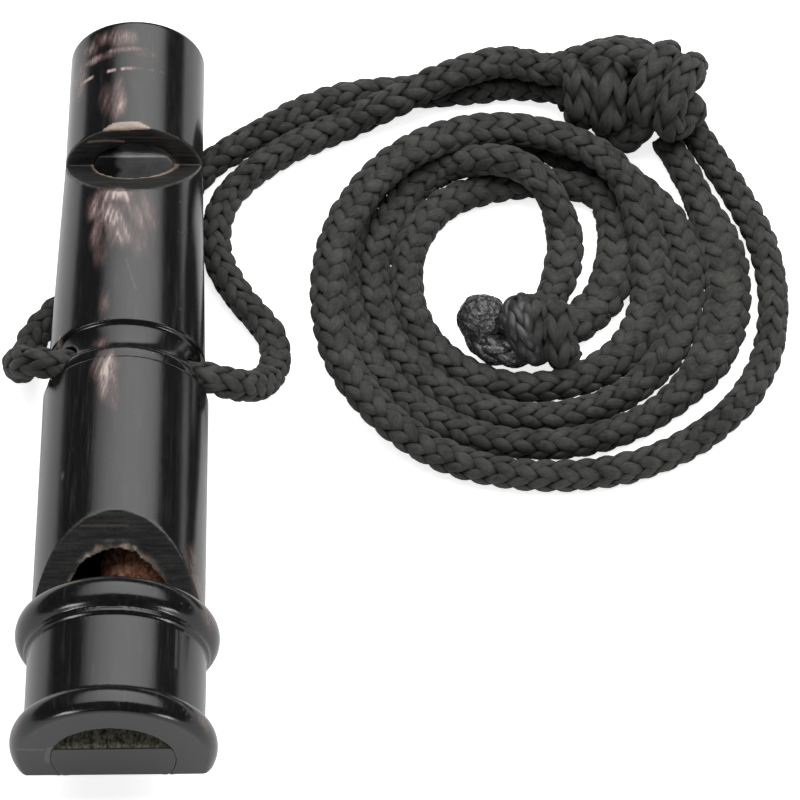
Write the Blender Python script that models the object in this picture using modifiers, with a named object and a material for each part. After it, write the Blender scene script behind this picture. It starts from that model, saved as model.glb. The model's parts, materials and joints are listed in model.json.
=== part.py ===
"""Double-ended horn dog whistle with a pea, on a knotted neck cord.

The whistle lies along +Y. The origin is the centre of the trill mouth's end
face, +Z is up, and the cord lies coiled on the ground to the +X side.
Sizes below are in millimetres and are turned into metres by MM.
"""
import math

import bmesh
import bpy
from mathutils import Matrix, Vector

MM = 0.001

# ---- Whistle body --------------------------------------------------------
LENGTH = 100.0
BODY_SIDES = 64
FACE_R = 10.7
BEAD_R = 11.7
NECK_R = 10.2
NECK_START = 3.6
NECK_END = 12.9
ASTRAGAL_R = 10.65
RING_START = 13.7
RING_END = 17.6
LOWER_R_NEAR = 9.95
LOWER_R_FAR = 9.8
GROOVE_START = 48.2
GROOVE_END = 53.6
LIP_END = 50.0
LIP_R = 9.45
COVE_R = 8.5
UPPER_R_NEAR = 9.35
UPPER_R_FAR = 8.4
TIP_ROUND = 0.6

# ---- Bores, windows and cuts ---------------------------------------------
TRILL_BORE_R = 7.0
TRILL_BORE_END = 45.0
TONE_BORE_R = 5.0
TONE_BORE_START = 56.0
TRILL_WALL_Y = 17.6
TRILL_RAMP_TOP_Y = 26.84
TRILL_RAMP_LOW_Z = 2.65
TONE_WALL_Y = 82.9
TONE_RAMP_TOP_Y = 73.4
TONE_RAMP_TOP_Z = 8.6
TONE_RAMP_LOW_Z = 0.9
BITE_Z = -3.7
BITE_FLAT_LENGTH = 5.5
BITE_COVE_R = 6.7

# ---- Fipple blocks, pea and cord hole ------------------------------------
FIT_GAP = 0.3
TRILL_FLOOR_Z = 2.4
TONE_FLOOR_Z = 2.6
PEA_R = 4.2
PEA_OFFSET_X = 2.0
PEA_Y = 26.0
HOLE_Y = 50.4
HOLE_R = 2.15
HOLE_Z = 3.5
HOLE_TILT = math.radians(10.0)

# ---- Cord ----------------------------------------------------------------
CORD_R = 1.8
CORD_STEP = 2.4
GROUND_Z = -BEAD_R
FLAT_H = 1.85
OVER_H = 5.75
UNDER_BODY_SCALE = 0.76
COIL_X = 50.5
COIL_Y = 70.5
SWING_X = 69.4
SWING_Y = 95.7
SWING_CLEARANCE = 4.8
SEAL_R = 2.7
REST_GAP = 0.05

HORN = (0.018, 0.016, 0.015)
BLOCK = (0.045, 0.043, 0.042)
CORK = (0.30, 0.13, 0.075)
CORD = (0.022, 0.021, 0.020)
MELTED = (0.030, 0.030, 0.031)


def clear_scene():
    """Remove every object that is already in the scene."""
    for obj in list(bpy.data.objects):
        bpy.data.objects.remove(obj, do_unlink=True)


def new_collection(name):
    """Make a collection under the scene's own collection."""
    group = bpy.data.collections.new(name)
    bpy.context.scene.collection.children.link(group)
    return group


def principled(name, colour, roughness, metallic=0.0):
    """Make a Principled material."""
    material = bpy.data.materials.new(name)
    material.use_nodes = True
    shader = material.node_tree.nodes["Principled BSDF"]
    shader.inputs["Base Color"].default_value = (*colour, 1.0)
    shader.inputs["Roughness"].default_value = roughness
    shader.inputs["Metallic"].default_value = metallic
    return material


def add_object(name, data, group, material=None):
    """Link an object to a collection and give it its material."""
    obj = bpy.data.objects.new(name, data)
    group.objects.link(obj)
    if material:
        data.materials.append(material)
    return obj


def add_cutter(name, mesh):
    """Link a mesh as a hidden wire cutter."""
    obj = add_object(name, mesh, CUTTERS)
    obj.hide_render = True
    obj.display_type = "WIRE"
    return obj


def cut(obj, cutter, operation="DIFFERENCE"):
    """Add a Boolean modifier."""
    modifier = obj.modifiers.new(cutter.name, "BOOLEAN")
    modifier.operation = operation
    modifier.object = cutter


def shade(obj, angle=35.0):
    """Shade an object's mesh smooth, with its hard edges kept sharp."""
    obj.data.shade_smooth()
    obj.data.set_sharp_from_angle(angle=math.radians(angle))


# ---- Outline helpers -----------------------------------------------------
def bead(start, end, base_r, crown_r, count, first=-1.0):
    """Points (y, r) along a half-ellipse that stands out of, or dips into, a turned side.

    first is where the half-ellipse begins, from -1 at its own edge to 0 at its crown.
    """
    half = (end - start) / (1.0 - first)
    middle = end - half
    points = []
    begin = math.acos(-first)
    for i in range(count + 1):
        angle = begin + (math.pi - begin) * i / count
        points.append((middle - half * math.cos(angle), base_r + (crown_r - base_r) * math.sin(angle)))
    return points


def body_outline():
    """The whistle's turned side as (y, r), from the trill mouth to the tone end."""
    face_start = -math.sqrt(1.0 - ((FACE_R - NECK_R) / (BEAD_R - NECK_R)) ** 2)
    side = bead(0.0, NECK_START, NECK_R, BEAD_R, 8, face_start)
    side += bead(NECK_END, RING_START, NECK_R, ASTRAGAL_R, 4)
    ring = bead(RING_START, RING_END, NECK_R, BEAD_R, 9)
    side += ring[1:-1]
    side.append((RING_END, LOWER_R_NEAR))
    side.append((GROOVE_START, LOWER_R_FAR))
    side.append((GROOVE_START + 0.15, LIP_R - 0.35))
    side += bead(GROOVE_START + 0.15, LIP_END, LIP_R - 0.35, LIP_R, 4)[1:]
    side += bead(LIP_END, GROOVE_END, UPPER_R_NEAR - 0.3, COVE_R, 6)[1:-1]
    side.append((GROOVE_END, UPPER_R_NEAR))
    side.append((TONE_WALL_Y, UPPER_R_FAR + 0.08))
    for i in range(4):
        angle = math.pi / 2 * i / 3
        y = LENGTH - TIP_ROUND * (1.0 - math.sin(angle))
        side.append((y, UPPER_R_FAR - TIP_ROUND * (1.0 - math.cos(angle))))
    return side


def turned(name, outline, group, material):
    """Turn an outline of (y, r) about the Y axis with a Screw modifier."""
    mesh = bpy.data.meshes.new(name)
    points = [(outline[-1][0], 0.0)] + outline[::-1] + [(outline[0][0], 0.0)]
    verts = [Vector((r, 0.0, y)) * MM for y, r in points]
    edges = [(i, i + 1) for i in range(len(verts) - 1)]
    mesh.from_pydata(verts, edges, [])
    obj = add_object(name, mesh, group, material)
    obj.rotation_euler.x = -math.pi / 2
    screw = obj.modifiers.new("Turned", "SCREW")
    screw.axis = "Z"
    screw.steps = BODY_SIDES
    screw.render_steps = BODY_SIDES
    screw.use_merge_vertices = True
    screw.merge_threshold = 0.00001
    screw.use_smooth_shade = True
    return obj


# ---- Solid helpers -------------------------------------------------------
def cylinder_mesh(name, radius, start, end, sides=48):
    """A capped cylinder between two points in millimetres."""
    start = Vector(start)
    end = Vector(end)
    span = end - start
    turn = span.to_track_quat("Z", "Y").to_matrix().to_4x4()
    place = Matrix.Translation((start + end) / 2) @ turn
    shape = bmesh.new()
    bmesh.ops.create_cone(
        shape, cap_ends=True, segments=sides, radius1=radius, radius2=radius, depth=span.length, matrix=place
    )
    bmesh.ops.scale(shape, vec=(MM, MM, MM), verts=shape.verts)
    mesh = bpy.data.meshes.new(name)
    shape.to_mesh(mesh)
    shape.free()
    return mesh


def prism_mesh(name, side_view, half_width):
    """A solid with one outline in the YZ plane, drawn across X. The outline runs counter-clockwise
    as seen from +X."""
    mesh = bpy.data.meshes.new(name)
    shape = bmesh.new()
    ring = [shape.verts.new(Vector((-half_width, y, z)) * MM) for y, z in side_view]
    face = shape.faces.new(ring)
    drawn = bmesh.ops.extrude_face_region(shape, geom=[face])
    moved = [item for item in drawn["geom"] if isinstance(item, bmesh.types.BMVert)]
    bmesh.ops.translate(shape, verts=moved, vec=Vector((2 * half_width, 0, 0)) * MM)
    bmesh.ops.recalc_face_normals(shape, faces=shape.faces)
    shape.to_mesh(mesh)
    shape.free()
    return mesh


def ellipsoid_mesh(name, centre, radii, segments=24, rings=14):
    """An ellipsoid in millimetres."""
    shape = bmesh.new()
    bmesh.ops.create_uvsphere(shape, u_segments=segments, v_segments=rings, radius=1.0)
    bmesh.ops.scale(shape, vec=Vector(radii) * MM, verts=shape.verts)
    bmesh.ops.translate(shape, vec=Vector(centre) * MM, verts=shape.verts)
    mesh = bpy.data.meshes.new(name)
    shape.to_mesh(mesh)
    shape.free()
    return mesh


# ---- Cord helpers --------------------------------------------------------
def interpolate(values, places, at):
    """Catmull-Rom through values that stand at unevenly spaced places."""
    last = len(places) - 1
    rising = places[-1] > places[0]
    i = 0
    while i < last - 1 and (places[i + 1] < at) == rising and places[i + 1] != at:
        i += 1

    def slope(j):
        low = max(j - 1, 0)
        high = min(j + 1, last)
        return (values[high] - values[low]) / (places[high] - places[low])

    width = places[i + 1] - places[i]
    s = (at - places[i]) / width
    start = (2 * s**3 - 3 * s**2 + 1) * values[i] + (s**3 - 2 * s**2 + s) * slope(i) * width
    finish = (3 * s**2 - 2 * s**3) * values[i + 1] + (s**3 - s**2) * slope(i + 1) * width
    return start + finish


def coil(stations, step=12.0):
    """Points along turns of the coil. A station is (turned angle in degrees, radius, height)."""
    angles, radii, heights = zip(*stations)
    count = round(abs(angles[-1] - angles[0]) / step)
    points = []
    for i in range(count + 1):
        angle = angles[0] + (angles[-1] - angles[0]) * i / count
        radius = interpolate(radii, angles, angle)
        turn = math.radians(angle)
        height = interpolate(heights, angles, angle)
        points.append((COIL_X + radius * math.cos(turn), COIL_Y + radius * math.sin(turn), height))
    return points


def even_path(points, step=CORD_STEP):
    """Resample a smooth path through the points at an even step."""
    reach = [0.0]
    for here, there in zip(points, points[1:]):
        reach.append(reach[-1] + math.dist(here, there))
    count = round(reach[-1] / step)
    axes = list(zip(*points))
    return [
        tuple(interpolate(axis, reach, reach[-1] * i / count) for axis in axes) for i in range(count + 1)
    ]


def cord(name, points, group, material, pinch=None):
    """A length of cord along points whose third value is the height above the ground.

    pinch is an optional function from (x, y) to the cord's thickness there, 1 where it is free.
    """
    curve = bpy.data.curves.new(name, "CURVE")
    curve.dimensions = "3D"
    curve.bevel_depth = CORD_R * MM
    curve.bevel_resolution = 2
    curve.use_fill_caps = True
    path = even_path(points)
    spline = curve.splines.new("POLY")
    spline.points.add(len(path) - 1)
    for point, (x, y, height) in zip(spline.points, path):
        thickness = pinch(x, y) if pinch else 1.0
        height = max(height, CORD_R * thickness + REST_GAP)
        point.co = (x * MM, y * MM, (GROUND_Z + height) * MM, 1.0)
        point.radius = thickness
    return add_object(name, curve, group, material)


# ---- Cutters of the whistle ----------------------------------------------
def window_cutter(name, wall_y, wall_z, top_y, top_z):
    """A window's cut: a wall square to the axis and a straight ramp that rises away from it."""
    above = BEAD_R + 4.0
    slope = (top_z - wall_z) / (top_y - wall_y)
    far_y = top_y + (above - top_z) / slope
    outline = [(wall_y, wall_z), (far_y, above), (wall_y, above)]
    return add_cutter(name, prism_mesh(name, outline, 2 * BEAD_R))


def bite_cutter():
    """The flat under the trill mouth, with a cove behind it for the lip."""
    low = -BEAD_R - 4.0
    outline = [(-2.0, low), (-2.0, BITE_Z)]
    centre_z = BITE_Z - BITE_COVE_R
    for i in range(9):
        angle = math.pi / 2 * i / 8
        y = BITE_FLAT_LENGTH + BITE_COVE_R * math.sin(angle)
        outline.append((y, centre_z + BITE_COVE_R * math.cos(angle)))
    outline.append((BITE_FLAT_LENGTH + BITE_COVE_R, low))
    return add_cutter("bite_cut", prism_mesh("bite_cut", outline, 2 * BEAD_R))


def hole_direction():
    """The cord hole's direction: across the whistle, with its -X end higher."""
    return Vector((math.cos(HOLE_TILT), 0.0, -math.sin(HOLE_TILT)))


def floor_cutter(name, floor_z, start, end):
    """Takes the windway off a block: all of it above the floor."""
    top = BEAD_R + 1.0
    outline = [(start - 2.0, floor_z), (end + 2.0, floor_z), (end + 2.0, top), (start - 2.0, top)]
    return add_cutter(name, prism_mesh(name, outline, 2 * BEAD_R))


# ---- Pieces --------------------------------------------------------------
def make_horn_body(group, material, bite):
    """The turned body, bored from both ends, with a window in each half."""
    body = turned("horn_body", body_outline(), group, material)
    trill_bore = cylinder_mesh("trill_bore", TRILL_BORE_R, (0, -2, 0), (0, TRILL_BORE_END, 0))
    tone_bore = cylinder_mesh("tone_bore", TONE_BORE_R, (0, TONE_BORE_START, 0), (0, LENGTH + 2, 0), 40)
    centre = Vector((0.0, HOLE_Y, HOLE_Z))
    reach = hole_direction() * 2 * BEAD_R
    cord_hole = cylinder_mesh("cord_hole", HOLE_R, centre - reach, centre + reach, 20)
    cut(body, add_cutter("trill_bore", trill_bore))
    cut(body, add_cutter("tone_bore", tone_bore))
    cut(body, add_cutter("cord_hole", cord_hole))
    cut(body, window_cutter("trill_window", TRILL_WALL_Y, TRILL_RAMP_LOW_Z, TRILL_RAMP_TOP_Y, LOWER_R_NEAR))
    cut(body, window_cutter("tone_window", TONE_WALL_Y, TONE_RAMP_LOW_Z, TONE_RAMP_TOP_Y, TONE_RAMP_TOP_Z))
    cut(body, bite)


def make_block(name, bore_r, start, end, floor_z, group, material):
    """A fipple block: a plug with its top planed flat to leave the windway."""
    plug = cylinder_mesh(name, bore_r - FIT_GAP, (0, start, 0), (0, end, 0), 40)
    block = add_object(name, plug, group, material)
    shade(block)
    cut(block, floor_cutter(name + "_windway", floor_z, start, end))
    return block


def make_pea(group, material):
    """The cork pea, lying in the bottom of the trill chamber by its window."""
    drop = math.sqrt((TRILL_BORE_R - PEA_R - FIT_GAP) ** 2 - PEA_OFFSET_X**2)
    mesh = ellipsoid_mesh("cork_pea", (0, 0, 0), (PEA_R, PEA_R, PEA_R), 20, 12)
    pea = add_object("cork_pea", mesh, group, material)
    pea.location = Vector((PEA_OFFSET_X, PEA_Y, -drop)) * MM
    shade(pea, 60)


def under_body_pinch(x, y):
    """The cord is pressed thinner where it passes under the whistle."""
    if not 66.0 < y < 92.0:
        return 1.0
    ease = min(max((abs(x) - 4.0) / 4.0, 0.0), 1.0)
    return UNDER_BODY_SCALE + (1.0 - UNDER_BODY_SCALE) * ease


def bridle_points():
    """From the big knot, up to the whistle's right side, through it and back under it to the knot."""
    hole = HOLE_Z - GROUND_Z
    drop = math.tan(HOLE_TILT)
    right_leg = [
        (52.6, 102.3, 6.6), (47.0, 104.4, OVER_H), (43.0, 103.6, OVER_H), (38.0, 101.4, OVER_H),
        (32.5, 99.2, 4.4), (26.0, 97.3, 2.0), (20.3, 94.5, FLAT_H), (14.9, 90.4, FLAT_H),
        (11.4, 86.2, FLAT_H), (10.0, 82.0, FLAT_H), (10.1, 76.6, FLAT_H), (12.8, 70.6, FLAT_H),
        (16.6, 65.0, FLAT_H), (17.4, 61.5, 2.1), (16.9, 57.5, 3.7), (15.6, 54.0, 6.7),
        (13.7, 51.4, 10.2), (11.7, 50.4, 12.5),
    ]
    through = [(x, HOLE_Y, hole - x * drop) for x in (9.8, 7.6, 0.0, -7.6, -9.6)]
    left_leg = [
        (-11.5, 51.0, 15.9), (-12.9, 53.4, 12.6), (-13.2, 56.8, 6.6), (-13.2, 61.0, 2.7),
        (-12.3, 64.8, FLAT_H), (-10.0, 68.0, FLAT_H), (0.0, 79.5, 1.4), (8.2, 90.4, FLAT_H),
        (12.0, 93.8, FLAT_H), (17.3, 97.4, FLAT_H), (20.6, 99.6, FLAT_H), (26.0, 101.8, FLAT_H),
        (32.5, 102.7, FLAT_H), (38.0, 102.7, FLAT_H), (43.0, 103.2, FLAT_H), (47.0, 103.8, FLAT_H),
        (52.6, 102.6, 2.8),
    ]
    return right_leg + through + left_leg


def outer_strand_points():
    """Neck strand that starts outermost, climbs over the other and ends innermost."""
    turns = coil([
        (52, 32.6, FLAT_H), (42, 30.5, FLAT_H), (32, 29.3, FLAT_H), (20, 28.9, FLAT_H), (0, 28.6, FLAT_H),
        (-30, 28.9, FLAT_H), (-60, 27.9, FLAT_H), (-90, 26.9, FLAT_H), (-120, 27.4, 2.6), (-150, 27.6, 4.6),
        (-180, 26.4, OVER_H), (-205, 25.8, OVER_H), (-230, 25.3, OVER_H), (-250, 24.2, OVER_H),
        (-270, 22.4, OVER_H), (-300, 19.2, OVER_H), (-330, 15.2, 3.6), (-360, 13.6, FLAT_H),
        (-430, 13.4, FLAT_H), (-490, 15.4, FLAT_H), (-515, 16.1, FLAT_H), (-540, 16.8, FLAT_H),
        (-585, 18.4, FLAT_H), (-612, 17.6, FLAT_H), (-630, 17.3, FLAT_H),
    ])
    tail = [(55.2, 87.2, FLAT_H), (58.3, 85.5, FLAT_H), (59.9, 81.2, FLAT_H), (59.7, 75.5, FLAT_H),
            (58.3, 70.2, FLAT_H), (55.5, 66.8, FLAT_H)]
    return turns + tail


def inner_strand_points():
    """Neck strand that stays on the ground, and crosses over the other near its end."""
    turns = coil([
        (55.5, 29.2, FLAT_H), (42, 25.9, FLAT_H), (30, 24.2, FLAT_H), (12, 23.4, FLAT_H), (0, 23.1, FLAT_H),
        (-13, 22.8, FLAT_H), (-50, 22.3, FLAT_H), (-90, 22.4, FLAT_H), (-120, 23.0, FLAT_H),
        (-150, 23.7, FLAT_H), (-190, 25.0, FLAT_H), (-220, 26.8, FLAT_H), (-245, 26.7, FLAT_H),
        (-280, 23.1, FLAT_H), (-310, 21.7, FLAT_H), (-340, 19.2, FLAT_H), (-370, 17.6, FLAT_H),
        (-430, 18.1, FLAT_H), (-490, 19.3, FLAT_H), (-510, 19.9, FLAT_H), (-540, 20.9, FLAT_H),
        (-590, 22.9, FLAT_H),
    ])
    tail = [(38.7, 89.9, 2.4), (42.3, 89.3, 4.6), (45.8, 88.2, 6.15), (48.9, 87.0, OVER_H), (51.1, 84.9, 5.3),
            (52.9, 81.7, 3.4), (53.6, 78.4, FLAT_H), (53.3, 75.3, FLAT_H), (52.1, 71.1, FLAT_H)]
    return turns + tail


def make_knot(name, lumps, group, material):
    """A knot as one solid: ellipsoids (centre, height, radii) joined together."""
    knot = None
    for index, (x, y, height, radii) in enumerate(lumps):
        mesh = ellipsoid_mesh(name, (x, y, GROUND_Z + height), radii)
        if knot is None:
            knot = add_object(name, mesh, group, material)
            continue
        cut(knot, add_cutter(f"{name}_lump_{index}", mesh), "UNION")
    return knot


def make_lanyard_knot(group, material):
    """The big overhand knot, hollowed underneath so that the neck strands can swing out of it."""
    lumps = [
        (59.1, 99.2, 6.05, (6.4, 6.3, 6.0)),
        (67.0, 97.3, 6.3, (4.5, 6.1, 5.2)),
        (62.4, 94.6, 2.6, (2.9, 2.4, 2.1)),
    ]
    knot = make_knot("lanyard_knot", lumps, group, material)
    low = (SWING_X, SWING_Y, GROUND_Z - 2.0)
    high = (SWING_X, SWING_Y, GROUND_Z + FLAT_H + CORD_R + FIT_GAP)
    cut(knot, add_cutter("swing_room", cylinder_mesh("swing_room", SWING_CLEARANCE, low, high, 32)))


def make_end_knot(group, material, melted):
    """The small knot that joins the neck strands, with the melted bead that seals its ends beside it."""
    lumps = [
        (50.6, 63.0, 4.05, (3.1, 4.05, 4.0)),
        (45.6, 63.2, 4.35, (3.4, 4.5, 4.3)),
    ]
    knot = make_knot("end_knot", lumps, group, material)
    place = (42.3, 64.4, GROUND_Z + 5.0)
    room = ellipsoid_mesh("sealed_room", place, [SEAL_R + FIT_GAP] * 3)
    cut(knot, add_cutter("sealed_room", room))
    bead_mesh = ellipsoid_mesh("sealed_end", place, [SEAL_R] * 3, 18, 12)
    sealed = add_object("sealed_end", bead_mesh, group, melted)
    shade(sealed, 60)


def build():
    """Build every piece of the whistle and its cord."""
    horn = principled("black_horn", HORN, 0.22)
    block = principled("horn_block", BLOCK, 0.35)
    cork = principled("cork", CORK, 0.85)
    cord_fibre = principled("cord_fibre", CORD, 0.8)
    melted = principled("melted_cord", MELTED, 0.25)
    whistle = new_collection("dog_whistle")
    bite = bite_cutter()
    make_horn_body(whistle, horn, bite)
    trill = make_block("trill_block", TRILL_BORE_R, 0.0, TRILL_WALL_Y, TRILL_FLOOR_Z, whistle, block)
    cut(trill, bite)
    make_block("tone_block", TONE_BORE_R, TONE_WALL_Y, LENGTH, TONE_FLOOR_Z, whistle, block)
    make_pea(whistle, cork)
    cord("bridle_cord", bridle_points(), whistle, cord_fibre, under_body_pinch)
    make_lanyard_knot(whistle, cord_fibre)
    cord("neck_strand_outer", outer_strand_points(), whistle, cord_fibre)
    cord("neck_strand_inner", inner_strand_points(), whistle, cord_fibre)
    make_end_knot(whistle, cord_fibre, melted)


clear_scene()
CUTTERS = new_collection("cutters")
build()
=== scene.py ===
import itertools
import json
import math

import bmesh
import bpy
import numpy as np
from mathutils import Matrix, Vector


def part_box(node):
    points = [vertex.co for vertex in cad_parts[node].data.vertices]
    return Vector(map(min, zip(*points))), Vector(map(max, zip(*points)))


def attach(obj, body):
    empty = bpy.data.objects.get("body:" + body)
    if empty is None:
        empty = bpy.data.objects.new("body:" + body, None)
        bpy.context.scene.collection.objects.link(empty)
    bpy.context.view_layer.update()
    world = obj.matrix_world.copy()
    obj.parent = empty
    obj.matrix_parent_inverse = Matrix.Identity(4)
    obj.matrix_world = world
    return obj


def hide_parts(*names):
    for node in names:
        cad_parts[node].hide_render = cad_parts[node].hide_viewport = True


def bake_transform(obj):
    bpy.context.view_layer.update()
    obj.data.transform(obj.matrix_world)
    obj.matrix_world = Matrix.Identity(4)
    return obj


# Lengths are in millimetres, which MM turns into metres. The cord's heights are above the ground.
MM = 0.001

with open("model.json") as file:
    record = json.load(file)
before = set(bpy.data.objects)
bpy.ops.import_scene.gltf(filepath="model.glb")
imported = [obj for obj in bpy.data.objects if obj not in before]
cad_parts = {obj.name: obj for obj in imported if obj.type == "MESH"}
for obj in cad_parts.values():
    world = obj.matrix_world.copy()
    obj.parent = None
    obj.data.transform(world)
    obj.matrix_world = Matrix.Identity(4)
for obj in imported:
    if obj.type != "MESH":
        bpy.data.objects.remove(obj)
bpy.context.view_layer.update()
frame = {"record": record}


# ---- Small helpers -------------------------------------------------------
def set_coordinates(mesh, coords):
    mesh.vertices.foreach_set("co", np.asarray(coords, np.float32).ravel())
    mesh.update()


def read_vectors(mesh, what):
    """The vertices' coordinates (co) or normals (normal)."""
    vectors = np.empty(len(mesh.vertices) * 3, np.float32)
    mesh.vertices.foreach_get(what, vectors)
    return vectors.reshape(-1, 3).astype(float)


def set_mask(mesh, name, values):
    """Store one number for each vertex, for a material to read."""
    layer = mesh.attributes.new(name, "FLOAT", "POINT")
    layer.data.foreach_set("value", np.asarray(values, np.float32))


def new_object(name, data):
    obj = bpy.data.objects.new(name, data)
    bpy.context.scene.collection.objects.link(obj)
    return obj


def mesh_object(name, verts, faces, material=None, scale=MM, uvs=None):
    """A new object from vertices in millimetres."""
    mesh = bpy.data.meshes.new(name)
    mesh.from_pydata([tuple(v) for v in np.asarray(verts) * scale], [], faces)
    mesh.validate()
    if uvs is not None:
        layer = mesh.uv_layers.new(name="UVMap")
        loops = np.zeros(len(mesh.loops), np.int32)
        mesh.loops.foreach_get("vertex_index", loops)
        layer.data.foreach_set("uv", np.asarray(uvs, np.float32)[loops].ravel())
    mesh.shade_smooth()
    if material:
        mesh.materials.append(material)
    return new_object(name, mesh)


def apply_modifiers(obj):
    """Bake an object's modifiers into its mesh."""
    graph = bpy.context.evaluated_depsgraph_get()
    baked = bpy.data.meshes.new_from_object(obj.evaluated_get(graph))
    obj.modifiers.clear()
    old = obj.data
    obj.data = baked
    bpy.data.meshes.remove(old)


def stand_for(obj, body, node):
    """obj moves with a CAD body and is shown instead of one of its nodes."""
    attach(obj, body)
    if node:
        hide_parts(node)


def smoothstep(low, high, value):
    t = np.clip((value - low) / (high - low), 0.0, 1.0)
    return t * t * (3 - 2 * t)


def fade(low, high, value):
    """1 below low, falling smoothly to 0 above high."""
    return 1.0 - smoothstep(low, high, value)


def grey(level):
    return (level, level, level)


def unit(vectors):
    """Rows scaled to a length of 1."""
    return vectors / np.linalg.norm(vectors, axis=1)[:, None]


# Odd constants that scramble a lattice cell's place into a number.
HASH_PRIMES = np.array([73856093, 19349663, 83492791], np.uint32)
SEED_PRIME = 374761393
HASH_MULTIPLIER = np.uint32(0x2C1B3C6D)


def value_noise(points, seed=0):
    """Smooth noise from -1 to 1 at an array of points, one lattice cell to a unit."""
    cell = np.floor(points).astype(np.int64)
    part = points - cell
    part = part * part * (3 - 2 * part)
    total = np.zeros(len(points))
    for corner in itertools.product((0, 1), repeat=3):
        at = (cell + np.array(corner)).astype(np.uint32) * HASH_PRIMES
        mix = at[:, 0] ^ at[:, 1] ^ at[:, 2] ^ np.uint32(seed * SEED_PRIME % 2**32)
        for shift in (15, 13, 16):
            mix ^= mix >> np.uint32(shift)
            mix *= HASH_MULTIPLIER
        weight = np.prod(np.where(corner, part, 1 - part), axis=1)
        total += weight * (mix / 2.0**31 - 1.0)
    return total


def layered_noise(points, seed=0, layers=3):
    """Value noise with finer, weaker layers added, still from about -1 to 1."""
    total = np.zeros(len(points))
    for i in range(layers):
        total += value_noise(points * 2.0**i, seed + i) / 2.0**i
    return total / (2.0 - 0.5 ** (layers - 1))


def streaks(across, along, seed):
    """Noise that depends on two values only, so that it draws out into lines."""
    return value_noise(np.column_stack([across, along, np.zeros(len(across))]), seed)


# ---- Node materials ------------------------------------------------------
def fill_ramp(ramp, stops):
    """Set a colour ramp to (position, colour) stops."""
    while len(ramp.elements) < len(stops):
        ramp.elements.new(0.5)
    for element, (position, colour) in zip(ramp.elements, stops):
        element.position = position
        element.color = (*colour, 1)


class Nodes:
    """Shorthand for building a node material."""

    def __init__(self, name):
        self.material = bpy.data.materials.new(name)
        self.material.use_nodes = True
        self.tree = self.material.node_tree
        self.shader = self.tree.nodes["Principled BSDF"]

    def feed(self, socket, value):
        """Set an input to a value, or link it to another node's output."""
        if isinstance(value, bpy.types.NodeSocket):
            self.tree.links.new(value, socket)
        else:
            socket.default_value = value

    def add(self, kind, inputs=None, **settings):
        node = self.tree.nodes.new("ShaderNode" + kind)
        for key, value in settings.items():
            setattr(node, key, value)
        for key, value in (inputs or {}).items():
            self.feed(node.inputs[key], value)
        return node

    def math(self, operation, a, b=0.0):
        return self.add("Math", {0: a, 1: b}, operation=operation).outputs[0]

    def times(self, a, b):
        return self.math("MULTIPLY", a, b)

    def plus(self, a, b):
        return self.math("ADD", a, b)

    def set(self, **values):
        """Feed inputs of the Principled shader, with _ for a space in their names."""
        for key, value in values.items():
            self.feed(self.shader.inputs[key.replace("_", " ")], value)

    def place(self, scale, kind="Object"):
        """Coordinates in millimetres on the object, or its UVs, times scale."""
        source = self.add("TexCoord").outputs[kind]
        per_unit = 1.0 if kind == "UV" else 1.0 / MM
        return self.add("Mapping", {"Vector": source, "Scale": [s * per_unit for s in scale]}).outputs[0]

    def noise(self, scale, detail=4.0, rough=0.5, distortion=0.0, kind="Object"):
        """Noise whose grain is 1/scale millimetres long each way."""
        inputs = {"Vector": self.place(scale, kind), "Scale": 1.0, "Detail": detail, "Roughness": rough}
        return self.add("TexNoise", {**inputs, "Distortion": distortion}).outputs["Fac"]

    def remap(self, value, low, high, to_low=0.0, to_high=1.0):
        return self.add("MapRange", {0: value, 1: low, 2: high, 3: to_low, 4: to_high}).outputs[0]

    def ramp(self, value, stops):
        node = self.add("ValToRGB", {"Fac": value})
        fill_ramp(node.color_ramp, stops)
        return node.outputs["Color"]

    def blend(self, factor, a, b):
        """Mix two colours, each a socket or three numbers."""
        a, b = (c if isinstance(c, bpy.types.NodeSocket) else (*c, 1) for c in (a, b))
        return self.add("Mix", {0: factor, 6: a, 7: b}, data_type="RGBA").outputs[2]

    def bump(self, height, strength, distance, normal=None):
        inputs = {"Height": height, "Strength": strength, "Distance": distance * MM}
        if normal:
            inputs["Normal"] = normal
        return self.add("Bump", inputs).outputs["Normal"]

    def mask(self, name):
        return self.add("Attribute", attribute_name=name).outputs["Fac"]


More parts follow.
